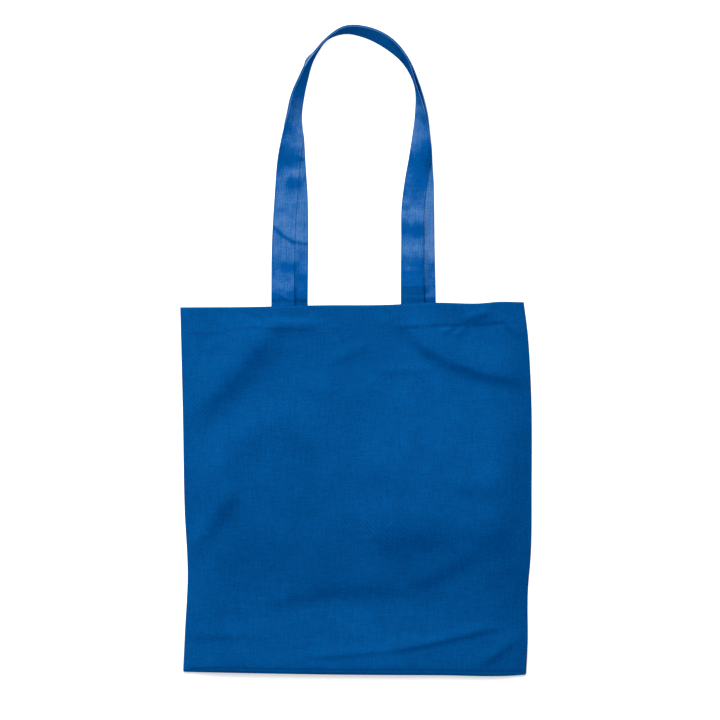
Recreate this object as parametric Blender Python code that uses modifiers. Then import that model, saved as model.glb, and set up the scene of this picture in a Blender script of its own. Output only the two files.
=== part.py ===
# Tote bag of plain blue cotton, empty, lying flat on its back panel.
#
# Metres, +Z up. X runs across the bag, Y from the bottom fold up to the straps.
# The origin is on the flat underside of the back panel, at the middle of the bag's body.
#
# The body is one length of cloth, folded at the bottom, sewn up both sides and hemmed at the mouth.
# Each of the two straps is a flat band, sewn to the inside of the hem at both ends.

import math

import bmesh
import bpy
import numpy as np
from mathutils import Vector

# Driving dimensions
BAG_WIDTH = 0.380           # between the side seams
BAG_HEIGHT = 0.407          # from the bottom fold to the rim
CLOTH = 0.0005              # one layer of cloth
LAYER_GAP = 0.0003          # air between two layers that lie on each other
HEM_DEPTH = 0.027           # how far down the hem is turned in
HEM_GROOVE = 0.0009         # how far the row of stitches pulls the cloth in
SEAM_SLACK = 0.0009         # inner radius left at the side seams, inside the hem
BODY_PUFF = 0.0100          # rise of the front panel over its seams
MOUTH_PUFF = 0.0082         # the same rise at the mouth
SIDE_SLOPE = 0.050          # width over which the front panel rises from a side seam
BOTTOM_SLOPE = 0.038        # the same from the bottom fold
EDGE_WANDER = 0.005         # how far the cloth's edges stray from straight
FOLD_HEIGHT = 0.0036        # height of the highest soft fold in the front panel
STRAP_WIDTH = 0.0255
STRAP_THICKNESS = 0.0012
STRAP_GAP = 0.0007          # air between the two straps, which are only laid together
STRAP_SPACING = 0.143       # between the middles of one strap's two legs
STRAPS_LEFT = 0.0082        # how far left of the bag's middle the straps are sewn
STRAP_RISE = 0.304          # from the rim to the crown of the straps
STRAP_SEWN = 0.023          # length of each strap end inside the hem
STRAP_DROP = 0.045          # length over which the front strap comes down to the floor
REAR_SHIFT = 0.013          # the rear strap lies this far to the right of the front one
WAVE_HEIGHT = 0.0080        # height of the highest wave of the straps over the floor
FLOOR_GAP = 0.00015         # air under the straps
TUCK_RISE = 0.0020          # the front strap's rise where the rear one is tucked under its edge
TUCK_IN = 0.0004            # how far the rear strap's edge goes in there

# Sizes that follow from those
RIM_RADIUS = CLOTH + LAYER_GAP / 2
SEAM_RADIUS = 2 * RIM_RADIUS + SEAM_SLACK
STRAP_STEP = STRAP_THICKNESS + STRAP_GAP

# Edges of the body: (share of the edge's length, stray outward as a share of EDGE_WANDER)
LEFT_EDGE = ((0.0, 0.0), (0.12, -0.45), (0.26, -1.0), (0.45, -0.50), (0.70, 0.05), (1.0, 0.64))
RIGHT_EDGE = ((0.0, -0.20), (0.08, 0.15), (0.23, 0.25), (0.32, 0.85), (0.5, 1.05), (0.8, 0.80),
              (0.92, 0.15), (1.0, -0.68))
TOP_EDGE = ((0.0, -0.44), (0.2, -0.36), (0.4, 0.0), (0.6, 0.10), (0.75, 0.58), (0.88, 0.45),
            (0.93, 0.78), (1.0, 0.72))
BOTTOM_EDGE = ((0.0, -0.36), (0.2, -0.04), (0.45, 0.26), (0.75, 0.40), (0.97, 0.46), (1.0, 0.30))
# The hem's depth along the rim, as a share of HEM_DEPTH
HEM_LINE = ((0.0, 1.12), (0.08, 1.15), (0.2, 0.90), (0.32, 1.05), (0.6, 1.02), (0.8, 0.97), (0.93, 0.86),
            (1.0, 0.92))

# Soft folds of the front panel. Each has a crest line of points, drawn from left to right as shares
# of the bag's width and height from its middle. Its height is a share of FOLD_HEIGHT and its half
# widths above and below the line are shares of BAG_WIDTH.
BODY_FOLDS = (
    (((-0.56, 0.14), (-0.495, 0.20), (-0.375, 0.30), (-0.25, 0.44)), 1.0, 0.063, 0.042),
    (((-0.50, 0.10), (-0.34, 0.18), (-0.16, 0.265)), 0.55, 0.080, 0.105),
    (((-0.54, -0.21), (-0.39, -0.07), (-0.325, 0.02)), 0.5, 0.034, 0.026),
    (((0.13, 0.45), (0.21, 0.385), (0.285, 0.35), (0.395, 0.315), (0.54, 0.297)), 0.72, 0.053, 0.024),
    (((0.08, -0.10), (0.24, -0.113), (0.54, -0.113)), 0.65, 0.068, 0.042),
    (((0.16, -0.255), (0.26, -0.21), (0.36, -0.15)), 0.45, 0.042, 0.026),
    (((-0.285, -0.285), (-0.13, -0.25), (0.03, -0.245), (0.17, -0.265)), 0.62, 0.053, 0.030),
    (((-0.56, -0.437), (-0.16, -0.442), (0.16, -0.428), (0.40, -0.442)), 0.4, 0.115, 0.047),
    (((0.06, -0.44), (0.21, -0.415), (0.43, -0.37)), 0.3, 0.026, 0.018),
)

# The straps' common route, from the left sewn end over the crown to the right one: across as a
# share of half the spacing, up as a share of the rise, lean from flat in degrees, the rear strap's
# slide towards the inside of the arch as a share of REAR_SHIFT, and how much further it leans
ROUTE = (
    (-1.00, 0.00, 0, 1.08, 0),
    (-0.99, 0.24, 0, 1.04, 0),
    (-0.95, 0.40, 0, 0.80, 0),
    (-0.91, 0.52, 4, 0.48, 0),
    (-0.86, 0.61, 22, 0.15, 0),
    (-0.825, 0.685, 54, 0.0, 0),
    (-0.77, 0.76, 62, 0.0, 0),
    (-0.68, 0.826, 73, 0.0, 3),
    (-0.582, 0.8835, 81, 0.0, 17),
    (-0.333, 0.962, 90, 0.0, 2),
    (-0.03, 0.998, 74, 0.0, 0),
    (0.278, 0.990, 67, 0.0, 0),
    (0.583, 0.957, 67, 0.0, 0),
    (0.89, 0.886, 80, 0.0, 0),
    (1.043, 0.802, 88, 0.0, -5),
    (1.119, 0.700, 68, 0.0, -3),
    (1.13, 0.608, 46, -0.02, 0),
    (1.12, 0.542, 24, -0.08, 0),
    (1.063, 0.455, 8, -0.46, 0),
    (1.015, 0.368, 3, -0.72, 0),
    (1.005, 0.22, 0, -0.82, 0),
    (1.00, 0.00, 0, -0.95, 0),
)
TUCK_TURN = 13              # degrees of further lean at which the rear strap is tucked in fully

# Waves of the straps where they lie flat. Each has a crest line as in the route, its height as a
# share of WAVE_HEIGHT, and its half widths above and below the line as shares of STRAP_RISE.
STRAP_WAVES = (
    (((-1.34, 0.557), (-0.556, 0.577)), 0.62, 0.085, 0.056),
    (((-1.09, 0.475), (-0.64, 0.459)), 0.35, 0.030, 0.033),
    (((-1.45, 0.051), (-0.36, 0.054)), 0.30, 0.040, 0.030),
    (((0.618, 0.587), (1.43, 0.544)), 1.0, 0.100, 0.072),
    (((0.618, 0.311), (1.318, 0.297)), 0.50, 0.046, 0.036),
    (((0.618, 0.160), (1.318, 0.156)), 0.23, 0.033, 0.027),
    (((0.674, 0.077), (1.22, 0.074)), 0.45, 0.023, 0.020),
)

# How finely the surfaces are cut
COLUMNS = 30
ROWS = 28
HEM_ROWS = 3
SEAM_STEPS = 4
FOLD_STEPS = 3
RIM_STEPS = 3
STRAP_LENGTHS = 128
STRAP_BANDS = 4


def clear_scene():
    for thing in list(bpy.data.objects):
        bpy.data.objects.remove(thing, do_unlink=True)


def curve_through(points, at):
    """Value at a place of the smooth curve through (place, value) points."""
    places, values = (np.array(column, dtype=float) for column in zip(*points))
    slopes = np.gradient(values, places)
    at = np.clip(at, places[0], places[-1])
    k = np.clip(np.searchsorted(places, at) - 1, 0, len(places) - 2)
    span = places[k + 1] - places[k]
    t = (at - places[k]) / span
    start = (1 + 2 * t) * (1 - t) ** 2 * values[k] + t * (1 - t) ** 2 * span * slopes[k]
    end = t * t * (3 - 2 * t) * values[k + 1] - t * t * (1 - t) * span * slopes[k + 1]
    return start + end


def ease_out(share, power=2):
    """Rises from 0 at once and levels off at 1, as cloth does beside a seam."""
    return 1 - (1 - min(max(share, 0.0), 1.0)) ** power


def ease(share):
    """Rises softly from 0 to 1."""
    share = min(max(share, 0.0), 1.0)
    return share * share * (3 - 2 * share)


def fold(line, above, below, x, y):
    """1 on a fold's crest line, fading to 0 beside it and towards both of its ends.

    The line's points and the half widths above and below it are in metres.
    """
    place = Vector((x, y))
    pieces = [(Vector(a), Vector(b)) for a, b in zip(line, line[1:])]
    whole = sum((b - a).length for a, b in pieces)
    nearest, share, gone_by, upper = math.inf, 0.0, 0.0, True
    for a, b in pieces:
        along = min(max((place - a).dot(b - a) / (b - a).length_squared, 0.0), 1.0)
        off = place - a - (b - a) * along
        if off.length < nearest:
            nearest = off.length
            upper = (b - a).cross(off) > 0
            share = (gone_by + along * (b - a).length) / whole
        gone_by += (b - a).length
    fade = ease(share / 0.25) * ease((1 - share) / 0.25)
    away = nearest / (above if upper else below)
    return math.exp(-away * away) * (0.15 + 0.85 * fade)


def edges(across, up):
    """Left, right, bottom and top of the body's outline for a point given in shares."""
    left = -BAG_WIDTH / 2 - EDGE_WANDER * curve_through(LEFT_EDGE, up)
    right = BAG_WIDTH / 2 + EDGE_WANDER * curve_through(RIGHT_EDGE, up)
    bottom = -BAG_HEIGHT / 2 - EDGE_WANDER * curve_through(BOTTOM_EDGE, across)
    top = BAG_HEIGHT / 2 + EDGE_WANDER * curve_through(TOP_EDGE, across)
    return left, right, bottom, top


def plan(across, up):
    """Where a point of the body lies, seen from above, inside the rounded side seams."""
    left, right, bottom, top = edges(across, up)
    x = left + SEAM_RADIUS + (right - left - 2 * SEAM_RADIUS) * across
    return x, bottom + (top - bottom) * up


def shares(x, y):
    """The across and up shares of a point seen from above."""
    across, up = x / BAG_WIDTH + 0.5, y / BAG_HEIGHT + 0.5
    for _ in range(4):
        left, right, bottom, top = edges(across, up)
        across = (x - left - SEAM_RADIUS) / (right - left - 2 * SEAM_RADIUS)
        up = (y - bottom) / (top - bottom)
    return across, up


def hem_share(across):
    """Where the hem's row of stitches lies, as a share of the height."""
    _, _, bottom, top = edges(across, 1.0)
    return 1 - HEM_DEPTH * curve_through(HEM_LINE, across) / (top - bottom)


def front_height(across, up):
    """Height of the front panel's outer face above the floor."""
    x, y = plan(across, up)
    beside = ease_out(min(across, 1 - across) * BAG_WIDTH / SIDE_SLOPE)
    above = ease_out(up * BAG_HEIGHT / BOTTOM_SLOPE, power=5)
    puff = BODY_PUFF + (MOUTH_PUFF - BODY_PUFF) * ease(up)
    for line, height, over, under in BODY_FOLDS:
        line = [(a * BAG_WIDTH, b * BAG_HEIGHT) for a, b in line]
        puff += FOLD_HEIGHT * height * fold(line, over * BAG_WIDTH, under * BAG_WIDTH, x, y)
    from_stitches = (up - hem_share(across)) * BAG_HEIGHT / (HEM_DEPTH / 3)
    puff -= HEM_GROOVE * math.exp(-from_stitches ** 2)
    return 2 * SEAM_RADIUS + puff * beside * above


def body_ring(station, inset=0.0, rise=0.0, flatten=1.0):
    """One closed ring of points round the bag.

    station runs from 0 at the bottom fold over 1 at the hem's stitches to 2 at the rim. inset
    moves the ring towards the inside of the bag, rise moves it up, and flatten draws it
    together into the bottom fold.
    """
    def up_share(across):
        hem = hem_share(across)
        return station * hem if station < 1 else hem + (station - 1) * (1 - hem)

    def face_point(across, height):
        x, y = plan(across, up_share(across))
        return x, y + rise, SEAM_RADIUS + (height - SEAM_RADIUS) * flatten

    def seam_points(across, outward):
        x, y = plan(across, up_share(across))
        radius = (SEAM_RADIUS - inset) * flatten
        for step in range(1, SEAM_STEPS):
            turn = math.pi * step / SEAM_STEPS
            side = outward * math.sin(turn)
            yield x + radius * side, y + rise, SEAM_RADIUS + outward * radius * math.cos(turn)

    columns = [column / COLUMNS for column in range(COLUMNS + 1)]
    ring = [face_point(a, front_height(a, up_share(a)) - inset) for a in columns]
    ring += seam_points(1.0, 1)
    ring += [face_point(a, inset) for a in reversed(columns)]
    ring += seam_points(0.0, -1)
    return ring


def body_rings():
    """Rings from the bottom fold up the outside, over the rim and down inside the hem.

    They lie closer together near the bottom fold, where the front panel rises quickly.
    """
    fold_share = SEAM_RADIUS / BAG_HEIGHT
    for step in range(FOLD_STEPS):
        turn = math.pi / 2 * step / FOLD_STEPS
        yield body_ring(fold_share * (1 - math.cos(turn)), flatten=math.sin(turn))
    for row in range(ROWS):
        share = row / ROWS
        yield body_ring(fold_share + (1 - fold_share) * share * (0.5 + 0.5 * share))
    for row in range(HEM_ROWS):
        yield body_ring(1 + row / HEM_ROWS, rise=-RIM_RADIUS * row / HEM_ROWS)
    for step in range(RIM_STEPS + 1):
        turn = math.pi * step / RIM_STEPS
        yield body_ring(2, RIM_RADIUS * (1 - math.cos(turn)), RIM_RADIUS * (math.sin(turn) - 1))
    for row in reversed(range(HEM_ROWS)):
        yield body_ring(1 + row / HEM_ROWS, 2 * RIM_RADIUS, -RIM_RADIUS * row / HEM_ROWS)


def sheet_object(name, rows, closed):
    """An open surface from rows of points; a closed surface joins each row's end to its start."""
    mesh = bpy.data.meshes.new(name)
    shape = bmesh.new()
    grid = [[shape.verts.new(point) for point in row] for row in rows]
    for low, high in zip(grid, grid[1:]):
        steps = len(low) if closed else len(low) - 1
        for i in range(steps):
            j = (i + 1) % len(low)
            shape.faces.new((low[i], low[j], high[j], high[i]))
    bmesh.ops.remove_doubles(shape, verts=shape.verts, dist=1e-6)
    bmesh.ops.recalc_face_normals(shape, faces=shape.faces)
    shape.to_mesh(mesh)
    shape.free()
    return bpy.data.objects.new(name, mesh)


def thicken(sheet, thickness, offset):
    """Gives a sheet its thickness: offset -1 grows it inward only, 0 to both sides."""
    solidify = sheet.modifiers.new("Cloth", 'SOLIDIFY')
    solidify.thickness = thickness
    solidify.offset = offset
    solidify.use_even_offset = True
    solidify.use_quality_normals = True


def make_body():
    body = sheet_object("bag_body", list(body_rings()), closed=True)
    thicken(body, CLOTH, -1)
    return body


def on_route(across, up):
    """A place given as the route's are, in metres."""
    return across * STRAP_SPACING / 2 - STRAPS_LEFT, BAG_HEIGHT / 2 + up * STRAP_RISE


def route_points():
    """The straps' route in even steps: place seen from above, lean, slide and further lean."""
    rows = np.array(ROUTE, dtype=float)
    rows[:, 0], rows[:, 1] = on_route(rows[:, 0], rows[:, 1])
    rows[:, 2] = np.radians(rows[:, 2])
    rows[:, 3] = rows[:, 3] * REAR_SHIFT
    rows[:, 4] = np.radians(rows[:, 4])
    sewn_left, sewn_right = rows[0].copy(), rows[-1].copy()
    sewn_left[1] -= STRAP_SEWN
    sewn_right[1] -= STRAP_SEWN
    rows = np.vstack([sewn_left, rows, sewn_right])
    steps = np.hypot(np.diff(rows[:, 0]), np.diff(rows[:, 1]))
    lengths = np.concatenate([[0.0], np.cumsum(steps)])
    even = np.linspace(0, lengths[-1], STRAP_LENGTHS + 1)
    return [curve_through(list(zip(lengths, column)), even) for column in rows.T]


def wave_height(x, y):
    """How far the waves lift the straps. It is the same for both, so that they stay apart."""
    out_of_mouth = (y - BAG_HEIGHT / 2) / STRAP_RISE
    height = 0.25 * TUCK_RISE
    for line, share, over, under in STRAP_WAVES:
        line = [on_route(a, b) for a, b in line]
        height += WAVE_HEIGHT * share * fold(line, over * STRAP_RISE, under * STRAP_RISE, x, y)
    return height * ease(out_of_mouth / 0.026) * (1 - ease((out_of_mouth - 0.686) / 0.1))


def strap_rows(rear):
    """Rows of points across a strap, from its left end to its right end."""
    x, y, lean, slide, turn = route_points()
    along_x, along_y = np.gradient(x), np.gradient(y)
    upward = Vector((0, 0, 1))
    rows = []
    for i in range(len(x)):
        along = Vector((along_x[i], along_y[i], 0)).normalized()
        inward = Vector((along.y, -along.x, 0))
        flat, edge = math.cos(lean[i]), math.sin(lean[i])
        rear_flat, rear_edge = math.cos(lean[i] + turn[i]), math.sin(lean[i] + turn[i])
        tucked = max(0.0, turn[i]) / math.radians(TUCK_TURN)
        height = STRAP_WIDTH / 2 * edge + (STRAP_THICKNESS / 2 + STRAP_STEP) * flat + FLOOR_GAP
        height += max(0.0, slide[i] * edge)
        height += max(0.0, (STRAP_STEP + STRAP_THICKNESS / 2) * (rear_flat - flat))
        middle = Vector((x[i], y[i], height))
        if rear:
            # The straps meet at their upper edges where the rear one leans further, tucked a
            # little under the front one's edge, and else at their lower edges.
            hinge = math.copysign(STRAP_WIDTH / 2, -turn[i]) * (flat - rear_flat)
            middle += inward * (hinge + tucked * TUCK_IN)
            middle.z += STRAP_WIDTH / 2 * (rear_edge - edge)
            flat, edge = rear_flat, rear_edge
        else:
            middle.z += tucked * TUCK_RISE
        normal = upward * flat + inward * edge
        across = inward * flat - upward * edge
        if rear:
            middle += across * slide[i] - normal * STRAP_STEP
        sewn = 1 - ease((middle.y - BAG_HEIGHT / 2) / STRAP_DROP)
        middle.z += sewn * (sewn_height(middle.x, middle.y, rear) - middle.z)
        row = [middle + across * STRAP_WIDTH * (band / STRAP_BANDS - 0.5)
               for band in range(STRAP_BANDS + 1)]
        rows.append([point + upward * wave_height(point.x, point.y) for point in row])
    return rows


def sewn_height(x, y, rear):
    """Height of a strap's middle where it lies against the inside of the hem."""
    under_hem = 2 * RIM_RADIUS + 2 * LAYER_GAP + STRAP_THICKNESS / 2
    if rear:
        return under_hem
    across, up = shares(x, min(y, BAG_HEIGHT / 2))
    return front_height(across, up) - under_hem


def make_strap(name, rear):
    strap = sheet_object(name, strap_rows(rear), closed=False)
    thicken(strap, STRAP_THICKNESS, 0)
    return strap


def cotton(name, colour, roughness):
    """A plain matt cotton material."""
    material = bpy.data.materials.new(name)
    material.use_nodes = True
    shader = material.node_tree.nodes["Principled BSDF"]
    shader.inputs["Base Color"].default_value = (*colour, 1)
    shader.inputs["Roughness"].default_value = roughness
    shader.inputs["Metallic"].default_value = 0
    return material


def finish(thing, collection, material):
    """Puts a piece in the bag's collection with its material and smooth shading."""
    collection.objects.link(thing)
    thing.data.materials.append(material)
    thing.data.shade_smooth()


def main():
    clear_scene()
    bag = bpy.data.collections.new("tote_bag")
    bpy.context.scene.collection.children.link(bag)
    finish(make_body(), bag, cotton("body_cotton", (0.002, 0.075, 0.28), 0.85))
    finish(make_strap("front_strap", rear=False), bag, cotton("front_strap_cotton", (0.01, 0.11, 0.36), 0.8))
    finish(make_strap("rear_strap", rear=True), bag, cotton("rear_strap_cotton", (0.01, 0.11, 0.36), 0.8))


main()
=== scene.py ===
import math

import bpy
import numpy as np
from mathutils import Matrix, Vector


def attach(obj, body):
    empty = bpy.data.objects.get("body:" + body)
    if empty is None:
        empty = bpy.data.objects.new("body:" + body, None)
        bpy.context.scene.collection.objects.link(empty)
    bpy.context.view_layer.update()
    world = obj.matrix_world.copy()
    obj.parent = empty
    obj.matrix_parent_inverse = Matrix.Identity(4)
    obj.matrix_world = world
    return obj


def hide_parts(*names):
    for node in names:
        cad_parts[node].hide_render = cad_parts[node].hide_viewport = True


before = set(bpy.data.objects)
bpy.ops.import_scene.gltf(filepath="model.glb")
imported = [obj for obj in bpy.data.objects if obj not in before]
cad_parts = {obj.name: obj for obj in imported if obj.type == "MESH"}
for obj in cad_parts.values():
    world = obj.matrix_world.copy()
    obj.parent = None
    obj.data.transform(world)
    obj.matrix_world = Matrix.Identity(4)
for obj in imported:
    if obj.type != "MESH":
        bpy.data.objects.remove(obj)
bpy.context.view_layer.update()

# The tote bag's sizes, in metres, as the frame has them. X runs across the bag, Y from the bottom
# fold up to the straps and Z up from the floor. The origin is under the middle of the body.
MM = 0.001
BAG_WIDTH = 0.380
BAG_HEIGHT = 0.407
CLOTH = 0.0005           # thickness
LAYER_GAP = 0.0003       # between a panel and its turned-in hem
HEM_DEPTH = 0.027
SEAM_SLACK = 0.0009      # by which the rolled side seams are looser than the layers in them
EDGE_WANDER = 0.005      # how far the edges stray from straight lines
RIM_RADIUS = CLOTH + LAYER_GAP / 2
SEAM_RADIUS = 2 * RIM_RADIUS + SEAM_SLACK

# How the empty body stands up from the floor
BODY_PUFF = 0.0100       # of the front panel, away from the mouth
MOUTH_PUFF = 0.0082
LOW_PUFF = 0.75          # share of the puff at the bottom fold, growing to 1
LOW_REACH = 0.35         # over this share of the height
SIDE_SLOPE = 0.050       # over which the front panel rises from the side seams
FOLD_SLOPE = 0.024       # over which it rises from the bottom fold
FOLD_STEEPNESS = 14
BACK_LIFT = 0.35 * MM
BACK_STITCH_LIFT = 0.5 * MM
BACK_STITCH_WIDTH = 2 * MM
BACK_SLOPE = 0.020

# The straps
STRAP_WIDTH = 0.0255
STRAP_THICKNESS = 0.0012
STRAP_GAP = 0.0007       # between the two straps where one lies on the other
STRAP_STEP = STRAP_THICKNESS + STRAP_GAP
STRAP_SPACING = 0.143    # between the middles of a strap's ends
STRAPS_LEFT = 0.0082     # how far left of the middle the straps are sewn on
STRAP_RISE = 0.304       # from the rim to the crown
STRAP_SEWN = 0.023       # length of each end behind the hem
STRAP_DROP = 0.045       # over which a strap leaves the height at which it is sewn on
STRAP_LENGTH = 0.725     # from one sewn end to the other, along the band
REAR_SHIFT = 0.013       # by which the rear strap lies to the side of the front one
REAR_CLOSER = 0.0005     # by which it lies nearer to the front one, flat or on its edge
FLOOR_GAP = 0.00015

# Where the rear strap leans further than the front one, for each TUCK_TURN that it does so, the
# front one is raised by TUCK_RISE and the rear one moved inwards by TUCK_IN
TUCK_TURN = math.radians(13)
TUCK_RISE = 0.0020
TUCK_IN = 0.0001

# Stitches and what they do to the cloth round them
HEM_STITCH = 2.5 * MM
BOX_STITCH = 2.3 * MM
STITCH_GAP = 0.7 * MM
THREAD_RADIUS = 0.17 * MM
STEP_SHARE = 0.36
STEP_WIDTH = 8 * MM
GROOVE_SHARE = 0.14
GROOVE_WIDTH = 1.8 * MM
PUCKER_LENGTH = 9.3 * MM
PUCKER_DRIFT = 47        # radians a metre
SLOW_PUCKERS = 310       # radians a metre
PUCKER_SHARE = 0.45
SLOW_SHARE = 0.3
BOX_INSET = 2 * MM       # of the stitches from the strap's edges
BOX_OVER_END = 1.5 * MM
BOX_UNDER_RIM = 3.5 * MM
BOX_LIFT = 0.18 * MM
BOX_EDGE = 1.2 * MM
BOX_END = 2 * MM
BOX_GROOVE = 0.16 * MM
BOX_GROOVE_WIDTH = 1.1 * MM
BAND_GROOVE = 0.16 * MM
BAND_GROOVE_WIDTH = 0.9 * MM
BAND_GROOVE_INSET = 2.2 * MM

# Folds fade over this share of their line's length at each end, down to a share of their height
FADE_OVER = 0.25
FADED = 0.15

# Random waves of the cloth: seed, shortest and longest wave, height
FRONT_RIPPLES = ((3, 0.030, 0.120, 0.28 * MM), (8, 0.008, 0.024, 0.05 * MM))
BACK_RIPPLES = (5, 0.020, 0.090, 0.45 * MM)
STRAP_RIPPLES = (21, 0.012, 0.050, 0.50 * MM)

# The straps' folds end at their sewn ends and where the straps begin to stand on edge
FOLDS_FROM_RIM = 1 * MM
FOLDS_GROW_OVER = 7 * MM
STANDING_FROM = 0.412
STANDING_OVER = 0.030
REAR_FOLDS = 0.7         # height of the rear strap's folds as a share of the front one's

# Edges of the body: (share of the edge's length, stray outward as a share of EDGE_WANDER)
LEFT_EDGE = ((0.0, 0.0), (0.12, -0.45), (0.26, -1.0), (0.45, -0.32), (0.70, 0.05), (1.0, 0.64))
RIGHT_EDGE = ((0.0, -0.20), (0.08, 0.15), (0.23, 0.25), (0.32, 0.85), (0.5, 1.05), (0.8, 0.80),
              (0.92, 0.15), (1.0, -0.68))
TOP_EDGE = ((0.0, -0.44), (0.2, -0.36), (0.4, 0.0), (0.6, 0.10), (0.75, 0.58), (0.88, 0.45),
            (0.93, 0.78), (1.0, 0.72))
BOTTOM_EDGE = ((0.0, -0.36), (0.2, -0.04), (0.45, 0.26), (0.75, 0.40), (0.97, 0.46), (1.0, 0.30))

# The hem's stitches: (share of the width, depth below the rim as a share of HEM_DEPTH)
HEM_LINE = ((0.0, 1.12), (0.08, 1.15), (0.2, 0.90), (0.32, 1.05), (0.6, 1.02), (0.8, 0.97),
            (0.93, 0.91), (1.0, 0.92))

# The straps' route: across as a share of half the spacing, up as a share of the rise, lean from
# flat in degrees, the rear strap's slide towards the inside as a share of REAR_SHIFT, and how
# many degrees further than the front strap it leans
ROUTE = (
    (-1.00, 0.00, 0, 1.13, 0),
    (-0.99, 0.24, 0, 1.12, 0),
    (-0.95, 0.40, 0, 0.86, 0),
    (-0.91, 0.52, 4, 0.48, 0),
    (-0.852, 0.61, 22, 0.15, 0),
    (-0.818, 0.685, 51, 0.0, 0),
    (-0.762, 0.76, 59, 0.0, 0),
    (-0.672, 0.826, 70, 0.0, 7),
    (-0.576, 0.8835, 79, 0.0, 15),
    (-0.464, 0.9247, 86, 0.0, 3),
    (-0.333, 0.962, 89, 0.0, 1),
    (-0.03, 0.998, 74, 0.0, 0),
    (0.278, 0.990, 65, 0.0, 0),
    (0.583, 0.957, 62, 0.0, 0),
    (0.89, 0.886, 75, 0.0, 0),
    (1.043, 0.802, 86, 0.0, -5),
    (1.119, 0.700, 65, 0.0, -3),
    (1.13, 0.608, 41, -0.02, 0),
    (1.12, 0.542, 19, -0.08, 0),
    (1.063, 0.455, 8, -0.52, 0),
    (1.015, 0.368, 3, -0.80, 0),
    (1.005, 0.22, 0, -0.90, 0),
    (1.00, 0.00, 0, -1.02, 0),
)

# Folds of the front panel. Each one is a crest line, in millimetres from the middle of the body
# and drawn from left to right, then its height and its half widths above and below the line.
# A negative height makes a valley.
BODY_FOLDS = (
    (((-4, 10), (130, 16), (220, 10)), 6.4, 80, 84),
    (((-160, -117), (-10, -119), (140, -113)), -3.0, 45, 36),
    (((-214, 58), (-188, 82), (-142, 122), (-96, 178), (-90, 200)), 3.4, 28, 18),
    (((-195, 22), (-122, 52), (-40, 92)), 2.3, 34, 56),
    (((-250, -138), (-190, -72), (-156, -30), (-122, 14)), 1.8, 14, 11),
    (((-250, -128), (-194, -76), (-172, -50), (-160, -36)), 2.6, 14, 9),
    (((46, 190), (78, 159), (108, 142), (150, 128), (220, 119)), 2.2, 28, 9),
    (((16, 131), (83, 134)), 0.4, 5, 5),
    (((-100, 184), (-36, 184)), 1.0, 4, 12),
    (((-77, 120), (-22, 107)), 0.5, 9, 9),
    (((-30, 140), (18, 162)), 0.5, 7, 7),
    (((-10, -42), (90, -46), (215, -44)), 1.5, 30, 20),
    (((104, 6), (164, 2)), 0.6, 12, 9),
    (((-255, 8), (-185, 6), (-125, -8)), 3.2, 34, 28),
    (((60, -104), (100, -86), (138, -62)), 1.3, 18, 11),
    (((-118, -128), (-40, -107), (20, -103), (82, -113)), 1.4, 28, 13),
    (((-214, -198), (-60, -200), (60, -196), (130, -198)), 1.6, 26, 18),
    (((24, -180), (80, -170), (165, -150)), 0.9, 9, 4),
    (((136, -196), (196, -152)), 1.1, 9, 5),
    (((-206, -158), (-110, -161)), 0.7, 10, 7),
    (((-60, -186), (10, -180), (40, -176)), 0.5, 7, 4),
    (((-150, 168), (-165, 150)), 0.5, 7, 5),
    (((120, 187), (150, 197)), 0.9, 6, 4),
    (((165, 186), (184, 166)), 1.4, 7, 2.5),
    (((112, 183), (96, 172)), 0.6, 4, 3),
    (((124, 182), (110, 168)), 0.6, 4, 3),
)

# Narrow creases of the front panel: the line, depth and half width, in millimetres
CREASES = (
    (((-171, 165), (-170, 148), (-175, 132), (-188, 116)), 0.45, 2.2),
    (((52, 176), (54, 150)), 0.4, 3),
    (((180, 60), (186, 0)), 0.5, 6),
)

# Folds across the straps where they lie flat, drawn and measured as the body's are
STRAP_FOLDS = (
    (((-104, 371), (-48, 376)), 5.0, 26, 17),
    (((-106, 381), (-78, 384)), 3.5, 22, 9),
    (((-79, 347), (-54, 343)), 2.6, 8, 10),
    (((-98, 299), (-78, 281), (-69, 275), (-40, 271)), 1.5, 9, 2.0),
    (((-84, 252), (-62, 250)), 1.6, 10, 8),
    (((-67, 238), (-40, 238)), 2.2, 7, 8),
    (((-112, 219), (-34, 220)), 2.4, 12, 9),
    (((-86, 218), (-66, 203)), 0.7, 2, 2),
    (((-63, 366), (-44, 364)), 1.0, 5, 1.6),
    (((36, 386), (94, 366)), 8.0, 30, 22),
    (((50, 417), (94, 418)), 1.6, 8, 8),
    (((38, 342), (74, 339)), 2.6, 16, 24),
    (((44, 319), (62, 312)), 1.3, 6, 5),
    (((34, 298), (84, 294)), 4.6, 14, 12),
    (((34, 253), (80, 252)), 1.7, 15, 18),
    (((46, 241), (78, 241)), 0.5, 3, 1.3),
    (((78, 253), (98, 253)), 1.0, 8, 11),
    (((42, 225), (82, 224.5)), 7.6, 60, 7.5),
    (((34, 212), (106, 212)), 1.0, 4, 4),
)

# How strongly the hem's stitches pull at the cloth: (share of the width, millimetres)
HEM_PULL = ((0.0, 2.4), (0.05, 2.0), (0.1, 1.2), (0.2, 0.9), (0.26, 1.1), (0.33, 1.2), (0.38, 0.4),
            (0.5, 0.2), (0.6, 0.3), (0.64, 1.4), (0.7, 1.5), (0.8, 2.3), (0.88, 2.8), (0.94, 2.2),
            (1.0, 1.2))

# How far the hem's band leans back from its stitches to the rim: (share of the width, millimetres)
HEM_LEAN = ((0.0, 1.0), (0.1, 1.0), (0.17, 0.0), (0.28, 0.1), (0.37, 0.6), (0.48, 0.1), (0.62, 0.2),
            (0.68, 0.9), (0.76, -0.6), (0.93, -0.6), (1.0, 0.0))

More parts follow.
